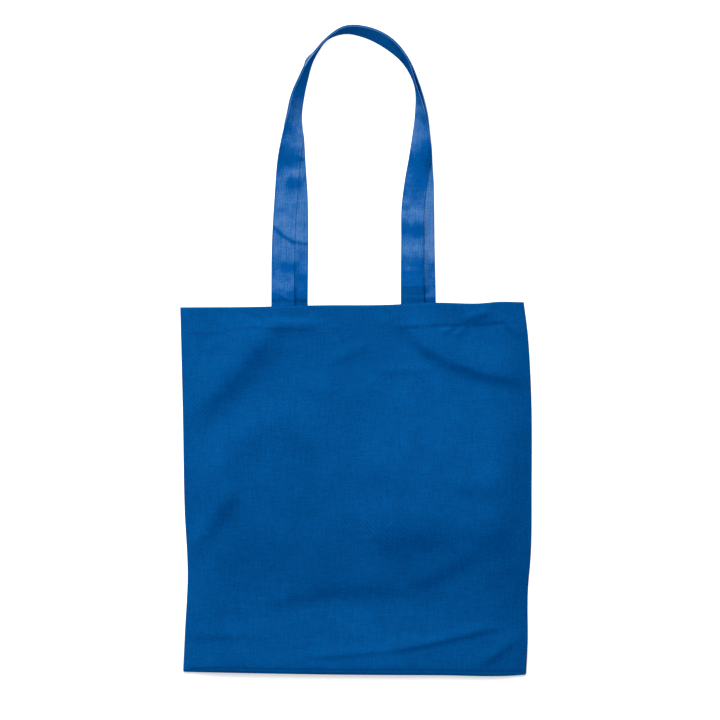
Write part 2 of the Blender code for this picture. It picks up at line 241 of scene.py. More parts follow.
# How finely the cloth is cut
FRONT_COLUMNS = 132
BACK_COLUMNS = 66
PANEL_ROWS = 156
HEM_ROWS = 12
SEAM_STEPS = 8
FOLD_STEPS = 5
RIM_STEPS = 6
FLAP_ROWS = 8
STRAP_LENGTHS = 420
ROW_CROWDING = 0.6       # how much closer the body's rows lie near the bottom fold and the hem
BAND_TOP_POINTS = 17
BAND_EDGE_STEPS = 5
BAND_BOTTOM_POINTS = 9
HEM_PLACES = 400
BOX_PLACES = 24
STITCH_RINGS = (0.0, 0.18, 0.5, 0.82, 1.0)
STITCH_SIDES = 6

# Colours of the cotton, with painted highlight and shade in them: (how squarely the surface faces the
# way of the painted light, colour). It is painted lighter facing that way, darker turned from it,
# and a little lighter again turned steeply away.
BODY_PAINTED_LIGHT_TONES = (
    (0.48, (0.0012, 0.084, 0.295)),
    (0.74, (0.0001, 0.052, 0.205)),
    (0.91, (0.0016, 0.092, 0.318)),
)
# The straps' palest colours are a painted sheen, and the darkest one a painted shadow in steep folds
STRAP_PAINTED_LIGHT_TONES = (
    (0.0, (0.0016, 0.086, 0.300)),
    (0.05, (0.0008, 0.052, 0.200)),
    (0.28, (0.0010, 0.087, 0.333)),
    (0.46, (0.0010, 0.087, 0.333)),
    (0.65, (0.034, 0.150, 0.420)),
    (0.82, (0.080, 0.196, 0.462)),
)
THREAD_COLOUR = (0.003, 0.082, 0.295)

# The ways that a surface faces where it is painted lightest: across, along and out of the cloth
BODY_PAINTED_LIGHT_WAY = (-0.07, 0.55, 0.826)
FRONT_PAINTED_LIGHT_WAY = (0.0, 0.77, 0.63)
REAR_PAINTED_LIGHT_WAY = (0.0, 0.70, 0.71)

# Noise in the cotton, in waves a metre
SLUB_SCALES = ((900, 70, 300), (70, 900, 300))
STREAK_SCALES = (750, 14, 300)
MOTTLE_SCALE = 22.0
GRAIN_SCALE = 620.0
PATCH_SCALE = 95.0
TWIST_SCALE = 2600.0

# The weave and the patterns in it
THREAD_SPACING = 0.62 * MM
WEAVE_MEAN = 0.64
WEAVE_TONE = 0.22
MOTTLE_TONE = 0.12
SLANT_SPACING = 3.0 * MM
SLANT_TONE = 0.09
SLANT_PATCHES = (0.45, 0.70)
RIB_SPACING = 1.75 * MM
RIB_BEND = 9.0
RIB_TONE = 0.07

# Painted shade on the straps: near the sewn ends, where they come out of the mouth, and along an
# edge of the legs that lie flat
END_PAINTED_SHADE_SPAN = (0.088, 0.053)      # from the end, where it begins and where it is full
END_PAINTED_SHADE = 0.29
OUTLINE_GROWS = (11.2 * MM, 12.0 * MM)      # from the band's middle
OUTLINE_STOPS = 14 * MM           # past the edge, on the underside
OUTLINE_PAINTED_SHADE = 0.2
LEG_LIES = (0.13, 0.18)           # from the crown, where it begins and where it is full

# The stage: how much the floor is whitened, and where that changes for the thin shadow that shows
# below the bag. Then the light, and the camera with the width that it sees at a height.
FLOOR_FILL = 0.74
FLOOR_FILL_BELOW = 0.40
FILL_CHANGES = (-0.19, -0.14)
FLOOR_HALF = 4.0
FLOOR_LEVEL = -0.0003
WORLD_LIGHT = 0.52
LIGHT_PLACE = (-0.35, 1.3, 2.3)
LIGHT_TARGET = (0, 0.1, 0)
LIGHT_SIZE = 1.1
LIGHT_POWER = 50
CAMERA_PLACE = (0.0055, 0.143, 16.0)
SEEN_WIDTH = 0.7956
SEEN_LEVEL = 0.004
SENSOR_WIDTH = 36

UPWARD = np.array([0.0, 0.0, 1.0])


# Curves and easing

def curve_through(points, at):
    """Value at a place of the smooth curve through (place, value) points."""
    places, values = (np.array(column, dtype=float) for column in zip(*points))
    slopes = np.gradient(values, places)
    at = np.clip(at, places[0], places[-1])
    k = np.clip(np.searchsorted(places, at) - 1, 0, len(places) - 2)
    span = places[k + 1] - places[k]
    t = (at - places[k]) / span
    start = (1 + 2 * t) * (1 - t) ** 2 * values[k] + t * (1 - t) ** 2 * span * slopes[k]
    end = t * t * (3 - 2 * t) * values[k + 1] - t * t * (1 - t) * span * slopes[k + 1]
    return start + end


def ease_out(share, power=2):
    return 1 - (1 - np.clip(share, 0, 1)) ** power


def ease(share):
    share = np.clip(share, 0, 1)
    return share * share * (3 - 2 * share)


def bell(distance, half_width):
    """1 at no distance, falling away softly on both sides."""
    return np.exp(-(distance / half_width) ** 2)


def ripples(x, y, seed, shortest, longest, height, count=36):
    """Soft random waves in cloth, whose height goes with their length."""
    rng = np.random.default_rng(seed)
    total = np.zeros(np.broadcast(x, y).shape)
    for _ in range(count):
        length = shortest * (longest / shortest) ** rng.random()
        turn, phase = rng.random(2) * 2 * math.pi
        wave = np.sin((x * math.cos(turn) + y * math.sin(turn)) * 2 * math.pi / length + phase)
        total += wave * length / longest
    return total * height / math.sqrt(count)


def length_so_far(points):
    """The length gone by at each point of a line."""
    steps = np.linalg.norm(np.diff(points, axis=0), axis=1)
    return np.concatenate([[0.0], np.cumsum(steps)])


# The body's surfaces

def edges(across, up):
    """The left, right, bottom and top edge at shares of the body's width and height."""
    left = -BAG_WIDTH / 2 - EDGE_WANDER * curve_through(LEFT_EDGE, up)
    right = BAG_WIDTH / 2 + EDGE_WANDER * curve_through(RIGHT_EDGE, up)
    bottom = -BAG_HEIGHT / 2 - EDGE_WANDER * curve_through(BOTTOM_EDGE, across)
    top = BAG_HEIGHT / 2 + EDGE_WANDER * curve_through(TOP_EDGE, across)
    return left, right, bottom, top


def plan(across, up):
    """X and Y at shares of the body's width and height."""
    left, right, bottom, top = edges(across, up)
    x = left + SEAM_RADIUS + (right - left - 2 * SEAM_RADIUS) * across
    return x, bottom + (top - bottom) * up


def shares(x, y):
    """Shares of the body's width and height at X and Y, found in a few steps."""
    across, up = x / BAG_WIDTH + 0.5, y / BAG_HEIGHT + 0.5
    for _ in range(4):
        left, right, bottom, top = edges(across, up)
        across = (x - left - SEAM_RADIUS) / (right - left - 2 * SEAM_RADIUS)
        up = (y - bottom) / (top - bottom)
    return across, up


def hem_share(across):
    """Share of the body's height at which the hem's stitches run."""
    _, _, bottom, top = edges(across, np.ones_like(across))
    return 1 - HEM_DEPTH * curve_through(HEM_LINE, across) / (top - bottom)


def line_places(points, x, y):
    """For places near a broken line: the distance from it, which is positive on its left side,
    and the share of the line's length that has gone by. The points are in millimetres."""
    corners = np.array(points, dtype=float) * MM
    lengths = np.linalg.norm(np.diff(corners, axis=0), axis=1)
    best = np.full(np.broadcast(x, y).shape, np.inf)
    signed, share = np.zeros_like(best), np.zeros_like(best)
    for k, ((ax, ay), (bx, by)) in enumerate(zip(corners, corners[1:])):
        dx, dy = bx - ax, by - ay
        along = np.clip(((x - ax) * dx + (y - ay) * dy) / lengths[k] ** 2, 0, 1)
        off_x, off_y = x - ax - along * dx, y - ay - along * dy
        away = np.hypot(off_x, off_y)
        nearer = away < best
        best = np.where(nearer, away, best)
        signed = np.where(nearer, np.where(dx * off_y - dy * off_x > 0, away, -away), signed)
        share = np.where(nearer, (lengths[:k].sum() + along * lengths[k]) / lengths.sum(), share)
    return signed, share


def fold(points, height, above, below, x, y):
    """One soft fold of the cloth, which fades towards both ends of its line."""
    away, share = line_places(points, x, y)
    width = np.where(away > 0, above, below) * MM
    fade = ease(share / FADE_OVER) * ease((1 - share) / FADE_OVER)
    return height * MM * bell(away, width) * (FADED + (1 - FADED) * fade)


def front_height(across, up):
    """Height of the front panel's outer face above the floor."""
    x, y = plan(across, up)
    beside = ease_out(np.minimum(across, 1 - across) * BAG_WIDTH / SIDE_SLOPE)
    above = ease_out(up * BAG_HEIGHT / FOLD_SLOPE, FOLD_STEEPNESS)
    puff = BODY_PUFF + (MOUTH_PUFF - BODY_PUFF) * ease(up)
    puff = puff * (LOW_PUFF + (1 - LOW_PUFF) * ease(up / LOW_REACH))
    for points, height, over, under in BODY_FOLDS:
        puff = puff + fold(points, height, over, under, x, y)
    for points, depth, half_width in CREASES:
        puff = puff - fold(points, depth, half_width, half_width, x, y)
    for waves in FRONT_RIPPLES:
        puff = puff + ripples(x, y, *waves)
    return 2 * SEAM_RADIUS + (puff + hem_relief(across, up, x)) * beside * above


def hem_relief(across, up, x):
    """The hem's band stands a puckered step above the panel and leans back from its stitches,
    which lie in a groove."""
    from_stitches = (up - hem_share(across)) * BAG_HEIGHT
    band = -MM * curve_through(HEM_LEAN, across) * np.clip(from_stitches / HEM_DEPTH, 0, 1)
    pucker = np.sin(x * 2 * math.pi / PUCKER_LENGTH + 2 * np.sin(x * PUCKER_DRIFT))
    uneven = 1 + PUCKER_SHARE * pucker + SLOW_SHARE * np.sin(x * SLOW_PUCKERS)
    pull = MM * curve_through(HEM_PULL, across) * uneven
    step = STEP_SHARE * pull * ease(from_stitches / STEP_WIDTH + 0.5)
    groove = GROOVE_SHARE * pull * bell(from_stitches, GROOVE_WIDTH)
    return band + step - groove + box_relief(x, from_stitches)


def box_relief(x, from_stitches):
    """The strap ends sewn behind the hem lift it a little, between two sewn grooves."""
    relief = 0.0
    for side in (-1, 1):
        aside = np.abs(x + STRAPS_LEFT - side * STRAP_SPACING / 2) - STRAP_WIDTH / 2
        within = ease(1 - aside / BOX_EDGE) * ease(from_stitches / BOX_END + 0.5)
        groove = bell(aside, BOX_GROOVE_WIDTH) * (from_stitches > 0)
        relief = relief + BOX_LIFT * within - BOX_GROOVE * groove
    return relief


def back_height(across, up):
    """The back panel lies on the floor and lifts off it only a little."""
    x, y = plan(across, up)
    from_stitches = (up - hem_share(across)) * BAG_HEIGHT
    lift = BACK_LIFT + ripples(x, y, *BACK_RIPPLES)
    lift = lift + BACK_STITCH_LIFT * bell(from_stitches, BACK_STITCH_WIDTH)
    beside = ease_out(np.minimum(across, 1 - across) * BAG_WIDTH / BACK_SLOPE)
    above = ease_out(up * BAG_HEIGHT / BACK_SLOPE)
    return np.maximum(lift, 0) * beside * above


def body_ring(station, inset=0.0, rise=0.0, flatten=1.0):
    """One closed ring of points round the bag: front, right seam, back, left seam. The station
    goes from 0 at the bottom fold to 1 at the hem's stitches and 2 at the rim."""
    def up_share(across):
        hem = hem_share(across)
        return station * hem if station < 1 else hem + (station - 1) * (1 - hem)

    def seam(across, outward):
        x, y = plan(across, up_share(across))
        turn = math.pi * np.arange(1, SEAM_STEPS) / SEAM_STEPS
        radius = (SEAM_RADIUS - inset) * flatten
        heights = SEAM_RADIUS + outward * radius * np.cos(turn)
        return np.stack([x + radius * outward * np.sin(turn), np.full_like(turn, y + rise), heights], 1)

    front = np.linspace(0, 1, FRONT_COLUMNS + 1)
    back = np.linspace(1, 0, BACK_COLUMNS + 1)
    panels = []
    for across, height in ((front, front_height(front, up_share(front)) - inset),
                           (back, back_height(back, up_share(back)) + inset)):
        x, y = plan(across, up_share(across))
        z = SEAM_RADIUS + (height - SEAM_RADIUS) * flatten
        panels.append(np.stack([x, y + rise, z], 1))
    return np.concatenate([panels[0], seam(np.array(1.0), 1), panels[1], seam(np.array(0.0), -1)])


def body_rings():
    """Rings from the bottom fold up the outside, over the rim and down inside the hem."""
    fold_share = SEAM_RADIUS / BAG_HEIGHT
    for step in range(FOLD_STEPS):
        turn = math.pi / 2 * step / FOLD_STEPS
        yield body_ring(fold_share * (1 - math.cos(turn)), flatten=math.sin(turn))
    for row in range(PANEL_ROWS):
        share = row / PANEL_ROWS
        share -= ROW_CROWDING * math.sin(2 * math.pi * share) / (2 * math.pi)
        yield body_ring(fold_share + (1 - fold_share) * share)
    for row in range(HEM_ROWS):
        yield body_ring(1 + row / HEM_ROWS, rise=-RIM_RADIUS * row / HEM_ROWS)
    for step in range(RIM_STEPS + 1):
        turn = math.pi * step / RIM_STEPS
        yield body_ring(2, RIM_RADIUS * (1 - math.cos(turn)), RIM_RADIUS * (math.sin(turn) - 1))
    for row in reversed(range(FLAP_ROWS)):
        yield body_ring(1 + row / FLAP_ROWS, 2 * RIM_RADIUS, -RIM_RADIUS * row / FLAP_ROWS)


# The straps' surfaces

def route_points():
    """X, Y, lean, slide and turn at even steps along the route, with its sewn ends."""
    rows = np.array(ROUTE, dtype=float)
    rows[:, 0] = rows[:, 0] * STRAP_SPACING / 2 - STRAPS_LEFT
    rows[:, 1] = BAG_HEIGHT / 2 + rows[:, 1] * STRAP_RISE
    rows[:, 2] = np.radians(rows[:, 2])
    rows[:, 3] = rows[:, 3] * REAR_SHIFT
    rows[:, 4] = np.radians(rows[:, 4])
    sewn_left, sewn_right = rows[0].copy(), rows[-1].copy()
    sewn_left[1] -= STRAP_SEWN
    sewn_right[1] -= STRAP_SEWN
    rows = np.vstack([sewn_left, rows, sewn_right])
    lengths = length_so_far(rows[:, :2])
    even = np.linspace(0, lengths[-1], STRAP_LENGTHS + 1)
    return [curve_through(list(zip(lengths, column)), even) for column in rows.T]


def sewn_height(x, y, rear):
    """Height of a strap's middle under the front hem, or for the rear strap over the back one."""
    under_hem = 2 * RIM_RADIUS + 2 * LAYER_GAP + STRAP_THICKNESS / 2
    if rear:
        return np.full_like(x, under_hem)
    across, up = shares(x, np.minimum(y, BAG_HEIGHT / 2))
    return front_height(across, up) - under_hem


def front_strap_height(lean, rear_lean, slide):
    """Height of the front strap's middle, on its edge or with the rear strap under it."""
    over_rear = STRAP_STEP + STRAP_THICKNESS / 2
    height = STRAP_WIDTH / 2 * np.sin(lean) + over_rear * np.cos(lean)
    height += np.maximum(0, slide * np.sin(lean)) + FLOOR_GAP
    return height + np.maximum(0, over_rear * (np.cos(rear_lean) - np.cos(lean)))


def strap_frames(rear):
    """Along a strap: its middle, the direction across it and its normal."""
    x, y, lean, slide, turn = route_points()
    along = np.stack([np.gradient(x), np.gradient(y)], 1)
    along /= np.linalg.norm(along, axis=1)[:, None]
    inward = np.stack([along[:, 1], -along[:, 0], np.zeros(len(x))], 1)
    rear_lean = lean + turn
    half = STRAP_WIDTH / 2
    middle = np.stack([x, y, front_strap_height(lean, rear_lean, slide)], 1)
    tuck = np.maximum(0, turn) / TUCK_TURN
    if rear:
        # The two straps meet at their upper edges where the rear one leans further, and else at
        # their lower ones.
        hinge = -np.sign(turn) * half * (np.cos(lean) - np.cos(rear_lean)) + tuck * TUCK_IN
        middle = middle + inward * hinge[:, None]
        middle[:, 2] += half * (np.sin(rear_lean) - np.sin(lean))
        lean = rear_lean
    else:
        middle[:, 2] += tuck * TUCK_RISE
    flat, edge = np.cos(lean)[:, None], np.sin(lean)[:, None]
    normal = UPWARD * flat + inward * edge
    across = inward * flat - UPWARD * edge
    if rear:
        apart = STRAP_STEP - REAR_CLOSER * (flat ** 4 + edge ** 4)
        middle = middle + across * slide[:, None] - normal * apart
    sewn = 1 - ease((middle[:, 1] - BAG_HEIGHT / 2) / STRAP_DROP)
    middle[:, 2] += sewn * (sewn_height(middle[:, 0], middle[:, 1], rear) - middle[:, 2])
    return middle, across, normal


def strap_lift(x, y, rear):
    """How far the folds lift the straps at a place. The rear strap lies under the front one and
    is lifted less."""
    lift = np.zeros_like(x)
    for points, height, above, below in STRAP_FOLDS:
        lift = lift + fold(points, height, above, below, x, y)
    outside = ease((y - BAG_HEIGHT / 2 - FOLDS_FROM_RIM) / FOLDS_GROW_OVER)
    standing = ease((y - STANDING_FROM) / STANDING_OVER)
    ripple = 0.5 * MM + ripples(x, y, *STRAP_RIPPLES)
    lift = lift * (REAR_FOLDS if rear else 1.0) + np.maximum(0, ripple)
    return lift * outside * (1 - standing)


def band_profile():
    """The strap's section as (across, up) points: folded edges and two stitched grooves."""
    half, thick = STRAP_WIDTH / 2, STRAP_THICKNESS / 2
    straight = half - thick
    top = np.linspace(-straight, straight, BAND_TOP_POINTS)
    groove = BAND_GROOVE * bell(np.abs(top) - (half - BAND_GROOVE_INSET), BAND_GROOVE_WIDTH)
    right = math.pi / 2 - math.pi * np.arange(1, BAND_EDGE_STEPS) / BAND_EDGE_STEPS
    bottom = np.linspace(straight, -straight, BAND_BOTTOM_POINTS)
    points = [(a, thick - g) for a, g in zip(top, groove)]
    points += [(straight + thick * math.cos(turn), thick * math.sin(turn)) for turn in right]
    points += [(a, -thick) for a in bottom]
    points += [(-straight - thick * math.cos(turn), -thick * math.sin(turn)) for turn in right]
    return np.array(points)


# Turning grids of points into objects

def new_object(name, points, faces, uvs=None):
    mesh = bpy.data.meshes.new(name)
    mesh.from_pydata(points.tolist(), [], faces)
    if uvs is not None:
        layer = mesh.uv_layers.new(name="cloth")
        layer.uv.foreach_set("vector", np.asarray(uvs, dtype=np.float32).ravel())
    mesh.shade_smooth()
    made = bpy.data.objects.new(name, mesh)
    bpy.context.scene.collection.objects.link(made)
    return made


def ring_faces(rings, columns):
    """Quads between closed rings of points."""
    faces = []
    for row in range(rings - 1):
        low, high = row * columns, (row + 1) * columns
        for i in range(columns):
            j = (i + 1) % columns
            faces.append((low + i, low + j, high + j, high + i))
    return faces


def make_body(material):
    rings = list(body_rings())
    columns = len(rings[0])
    body = new_object("bag_cloth", np.concatenate(rings), ring_faces(len(rings), columns))
    weld = body.modifiers.new("Bottom fold", 'WELD')
    weld.merge_threshold = 0.000001
    solidify = body.modifiers.new("Cloth", 'SOLIDIFY')
    solidify.thickness = CLOTH
    solidify.offset = -1
    solidify.use_even_offset = True
    solidify.use_quality_normals = True
    body.data.materials.append(material)
    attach(body, "root")
    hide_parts("bag_body")
    return body


def strap_faces(rings, columns):
    """The band's sides and its two ends, facing outwards."""
    last = (rings - 1) * columns
    faces = [tuple(reversed(face)) for face in ring_faces(rings, columns)]
    return faces + [tuple(range(columns)), tuple(reversed(range(last, last + columns)))]


def strap_uvs(middle, profile):
    """Cloth coordinates of the corners of strap_faces: round the band, and along it."""
    round_it = length_so_far(np.vstack([profile, profile[:1]]))
    along = length_so_far(middle)
    along *= STRAP_LENGTH / along[-1]
    uvs = []
    for low, high in zip(along, along[1:]):
        for left, right in zip(round_it, round_it[1:]):
            uvs += [(left, high), (right, high), (right, low), (left, low)]
    uvs += [(place, 0) for place in round_it[:-1]]
    uvs += [(place, along[-1]) for place in reversed(round_it[:-1])]
    return uvs


def make_strap(name, node, rear, material):
    middle, across, normal = strap_frames(rear)
    profile = band_profile()
    points = middle[:, None] + across[:, None] * profile[None, :, :1]
    points = points + normal[:, None] * profile[None, :, 1:]
    points[:, :, 2] += strap_lift(points[:, :, 0], points[:, :, 1], rear)
    faces = strap_faces(len(middle), len(profile))
    strap = new_object(name, points.reshape(-1, 3), faces, strap_uvs(middle, profile))
    strap.data.set_sharp_from_angle(angle=math.radians(60))
    strap.data.materials.append(material)
    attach(strap, "root")
    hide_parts(node)
    return strap


# Stitches

def stitch_points(middles, out):
    """Points round one stitch, which is thinnest at its ends, where it dips into the cloth."""
    forward = middles[-1] - middles[0]
    side = np.cross(forward, out)
    side /= np.linalg.norm(side)
    points = []
    for t, middle in zip(STITCH_RINGS, middles):
        thick = THREAD_RADIUS * (0.45 + 0.55 * math.sin(math.pi * (0.12 + 0.76 * t)))
        lift = THREAD_RADIUS * (1.7 * math.sin(math.pi * t) - 0.7)
        for s in range(STITCH_SIDES):
            turn = 2 * math.pi * s / STITCH_SIDES
            spoke = side * math.cos(turn) + out * math.sin(turn)
            points.append(middle + out * lift + spoke * thick)
    return points


def stitch_faces(first):
    """The sides and the two ends of the stitch whose points begin at a number."""
    faces = []
    for ring in range(len(STITCH_RINGS) - 1):
        low, high = first + ring * STITCH_SIDES, first + (ring + 1) * STITCH_SIDES
        for s in range(STITCH_SIDES):
            n = (s + 1) % STITCH_SIDES
            faces.append((low + s, high + s, high + n, low + n))
    last = first + (len(STITCH_RINGS) - 1) * STITCH_SIDES
    faces.append(tuple(range(first, first + STITCH_SIDES)))
    faces.append(tuple(reversed(range(last, last + STITCH_SIDES))))
    return faces


def stitch_mesh(name, rows, length, material):
    """One mesh of short thread stitches along rows of (points, the way out of the cloth)."""
    points, faces = [], []
    for line, out in rows:
        place = length_so_far(line)
        for start in np.arange(STITCH_GAP, place[-1] - length, length + STITCH_GAP):
            at = start + np.array(STITCH_RINGS) * length
            middles = np.stack([np.interp(at, place, line[:, k]) for k in range(3)], 1)
            faces += stitch_faces(len(points))
            points += stitch_points(middles, out)
    stitches = new_object(name, np.array(points), faces)
    stitches.data.materials.append(material)
    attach(stitches, "root")
    return stitches


def on_front(x, y):
    """A row of points on the front panel and the way out of it."""
    return np.stack([x, y, front_height(*shares(x, y))], 1), UPWARD


def hem_stitches(material):
    """The row of stitches that holds the hem shows on the front and on the back."""
    across = np.linspace(0.004, 0.996, HEM_PLACES)
    x, y = plan(across, hem_share(across))
    back = np.stack([x, y, back_height(across, hem_share(across))], 1), -UPWARD
    return stitch_mesh("hem_stitches", [on_front(x, y), back], HEM_STITCH, material)


def strap_box_stitches(material):
    """The rows of stitches that hold the front strap's ends show on the front hem."""
    rows = []
    half = STRAP_WIDTH / 2 - BOX_INSET
    low = BAG_HEIGHT / 2 - STRAP_SEWN + BOX_OVER_END
    high = BAG_HEIGHT / 2 - BOX_UNDER_RIM
    corners = [(-half, low), (half, low), (half, high), (-half, high), (-half, low)]
    for side in (-1, 1):
        middle = side * STRAP_SPACING / 2 - STRAPS_LEFT
        for (ax, ay), (bx, by) in zip(corners, corners[1:]):
            t = np.linspace(0, 1, BOX_PLACES)
            rows.append(on_front(middle + ax + (bx - ax) * t, ay + (by - ay) * t))
    return stitch_mesh("strap_box_stitches", rows, BOX_STITCH, material)


# Shader nodes

def nodes_of(name):
    material = bpy.data.materials.new(name)
    material.use_nodes = True
    tree = material.node_tree
    return material, tree, tree.nodes["Principled BSDF"]


def math_node(tree, operation, *values):
    node = tree.nodes.new("ShaderNodeMath")
    node.operation = operation
    for socket, value in zip(node.inputs, values):
        if isinstance(value, (int, float)):
            socket.default_value = value
        else:
            tree.links.new(value, socket)
    return node.outputs[0]


def grown(tree, value, start, full):
    """0 where a value is at its start and 1 where it is full, and no less or more beyond."""
    share = math_node(tree, 'MULTIPLY_ADD', value, 1 / (full - start), -start / (full - start))
    return math_node(tree, 'MINIMUM', math_node(tree, 'MAXIMUM', share, 0.0), 1.0)


def noise_node(tree, vector, scale, detail=2.0, roughness=0.5):
    node = tree.nodes.new("ShaderNodeTexNoise")
    node.inputs["Scale"].default_value = scale
    node.inputs["Detail"].default_value = detail
    node.inputs["Roughness"].default_value = roughness
    tree.links.new(vector, node.inputs["Vector"])
    return node.outputs["Fac"]


def streaky_noise(tree, vector, scales):
    """Noise with its own scale along each axis."""
    node = tree.nodes.new("ShaderNodeMapping")
    node.inputs["Scale"].default_value = scales
    tree.links.new(vector, node.inputs["Vector"])
    return noise_node(tree, node.outputs["Vector"], 1.0, 1.0)


def texture_place(tree, kind):
    return tree.nodes.new("ShaderNodeTexCoord").outputs[kind]


def uv_place(tree, uv_map):
    node = tree.nodes.new("ShaderNodeUVMap")
    node.uv_map = uv_map
    return node.outputs["UV"]


def split(tree, vector):
    """The X and the Y of a vector."""
    node = tree.nodes.new("ShaderNodeSeparateXYZ")
    tree.links.new(vector, node.inputs[0])
    return node.outputs["X"], node.outputs["Y"]


def ramp(tree, factor, stops):
    node = tree.nodes.new("ShaderNodeValToRGB")
    elements = node.color_ramp.elements
    while len(elements) < len(stops):
        elements.new(0.5)
    for element, (place, colour) in zip(elements, stops):
        element.position = place
        element.color = (*colour, 1)
    tree.links.new(factor, node.inputs["Fac"])
    return node.outputs["Color"]


def shaded(tree, colour, factor):
    """A colour made lighter or darker by a factor."""
    node = tree.nodes.new("ShaderNodeVectorMath")
    node.operation = 'SCALE'
    tree.links.new(colour, node.inputs[0])
    tree.links.new(factor, node.inputs["Scale"])
    return node.outputs["Vector"]


def around_one(tree, value, middle, strength):
    """1 plus a value's distance from its middle, times a strength."""
    return math_node(tree, 'MULTIPLY_ADD', value, strength, 1 - middle * strength)


def made_uneven(tree, value, *noises):
    """A value with noises added to it, each with a strength."""
    for noise, strength in noises:
        part = math_node(tree, 'MULTIPLY_ADD', noise, strength, -strength / 2)
        value = math_node(tree, 'ADD', value, part)
    return value


def add_bump(tree, shader, relief, strength, distance):
    bump = tree.nodes.new("ShaderNodeBump")
    bump.inputs["Strength"].default_value = strength
    bump.inputs["Distance"].default_value = distance
    tree.links.new(relief, bump.inputs["Height"])
    tree.links.new(bump.outputs["Normal"], shader.inputs["Normal"])


# Materials

def plain_weave(tree, u, v):
    """Threads over and under. A thread's crown is highest where it passes over its neighbour."""
    def wave(axis, function):
        return math_node(tree, function, math_node(tree, 'MULTIPLY', axis, math.pi / THREAD_SPACING))

    over = math_node(tree, 'MULTIPLY', wave(u, 'SINE'), wave(v, 'SINE'))
    over = math_node(tree, 'GREATER_THAN', over, 0.0)
    under = math_node(tree, 'SUBTRACT', 1.0, over)
    warp = math_node(tree, 'MULTIPLY', over, math_node(tree, 'ABSOLUTE', wave(u, 'COSINE')))
    weft = math_node(tree, 'MULTIPLY', under, math_node(tree, 'ABSOLUTE', wave(v, 'COSINE')))
    return math_node(tree, 'ADD', warp, weft)


def facing_painted_light(tree, painted_light_way):
    """How squarely the surface faces the way of the painted light, which sets its painted highlight and
    shade. The threads run along Y, so tilting along them counts for more than tilting across them."""
    across, along = split(tree, texture_place(tree, "Normal"))
    level = math_node(tree, 'SUBTRACT', 1.0, math_node(tree, 'MULTIPLY', along, along))
    level = math_node(tree, 'SQRT', math_node(tree, 'MAXIMUM', level, 0.0))
    painted_shading = math_node(tree, 'MULTIPLY', across, painted_light_way[0])
    painted_shading = math_node(tree, 'MULTIPLY_ADD', along, painted_light_way[1], painted_shading)
    return math_node(tree, 'MULTIPLY_ADD', level, painted_light_way[2], painted_shading)


def slant_lines(tree, place, u, v):
    """The weave's slant shows in patches as faint close lines, from -1 to 1."""
    slant = math_node(tree, 'MULTIPLY_ADD', u, 0.62, math_node(tree, 'MULTIPLY', v, 0.78))
    slant = math_node(tree, 'MULTIPLY_ADD', noise_node(tree, place, 8.0, 0.0), 0.05, slant)
    lines = math_node(tree, 'MULTIPLY', slant, 2 * math.pi / SLANT_SPACING)
    shown = grown(tree, noise_node(tree, place, 9.0, 1.0), *SLANT_PATCHES)
    return math_node(tree, 'MULTIPLY', math_node(tree, 'SINE', lines), shown)


def ribs(tree, place, u):
    """Fine ribs that run along a band and bend a little, from -1 to 1."""
    bend = math_node(tree, 'MULTIPLY', noise_node(tree, place, 50.0, 1.0), RIB_BEND)
    return math_node(tree, 'SINE', math_node(tree, 'MULTIPLY_ADD', u, 2 * math.pi / RIB_SPACING, bend))


def painted_edge_shade_mask(tree, u, side, outer):
    """1 along the edge that isn't beside the other strap, where the painted shade goes."""
    aside = math_node(tree, 'SUBTRACT', u, STRAP_WIDTH / 2 - STRAP_THICKNESS / 2)
    aside = math_node(tree, 'MULTIPLY', aside, math_node(tree, 'MULTIPLY', side, outer))
    on_top = math_node(tree, 'LESS_THAN', aside, OUTLINE_STOPS)
    return math_node(tree, 'MULTIPLY', grown(tree, aside, *OUTLINE_GROWS), on_top)


def strap_painted_shades(tree, painted_shading, u, v, outer, leg_shades):
    """Painted shade near a band's sewn ends and along one edge, and each leg's own shift of painted
    shading.
    """
    from_end = math_node(tree, 'MINIMUM', v, math_node(tree, 'SUBTRACT', STRAP_LENGTH, v))
    # Painted shade near the sewn ends, where the band comes out of the mouth
    painted_shading = math_node(tree, 'MULTIPLY_ADD', grown(tree, from_end, *END_PAINTED_SHADE_SPAN), -END_PAINTED_SHADE, painted_shading)
    from_crown = math_node(tree, 'SUBTRACT', v, STRAP_LENGTH / 2)
    side = math_node(tree, 'SIGN', from_crown)
    lying = grown(tree, math_node(tree, 'ABSOLUTE', from_crown), *LEG_LIES)
    edge_shade = math_node(tree, 'MULTIPLY', painted_edge_shade_mask(tree, u, side, outer), lying)
    # Painted shade along the outer edge of the legs that lie flat
    painted_shading = math_node(tree, 'MULTIPLY_ADD', edge_shade, -OUTLINE_PAINTED_SHADE, painted_shading)
    # Each leg's painted shading is shifted by its own amount
    slant = math_node(tree, 'MULTIPLY_ADD', side, (leg_shades[1] - leg_shades[0]) / 2, sum(leg_shades) / 2)
    return math_node(tree, 'MULTIPLY_ADD', slant, lying, painted_shading)


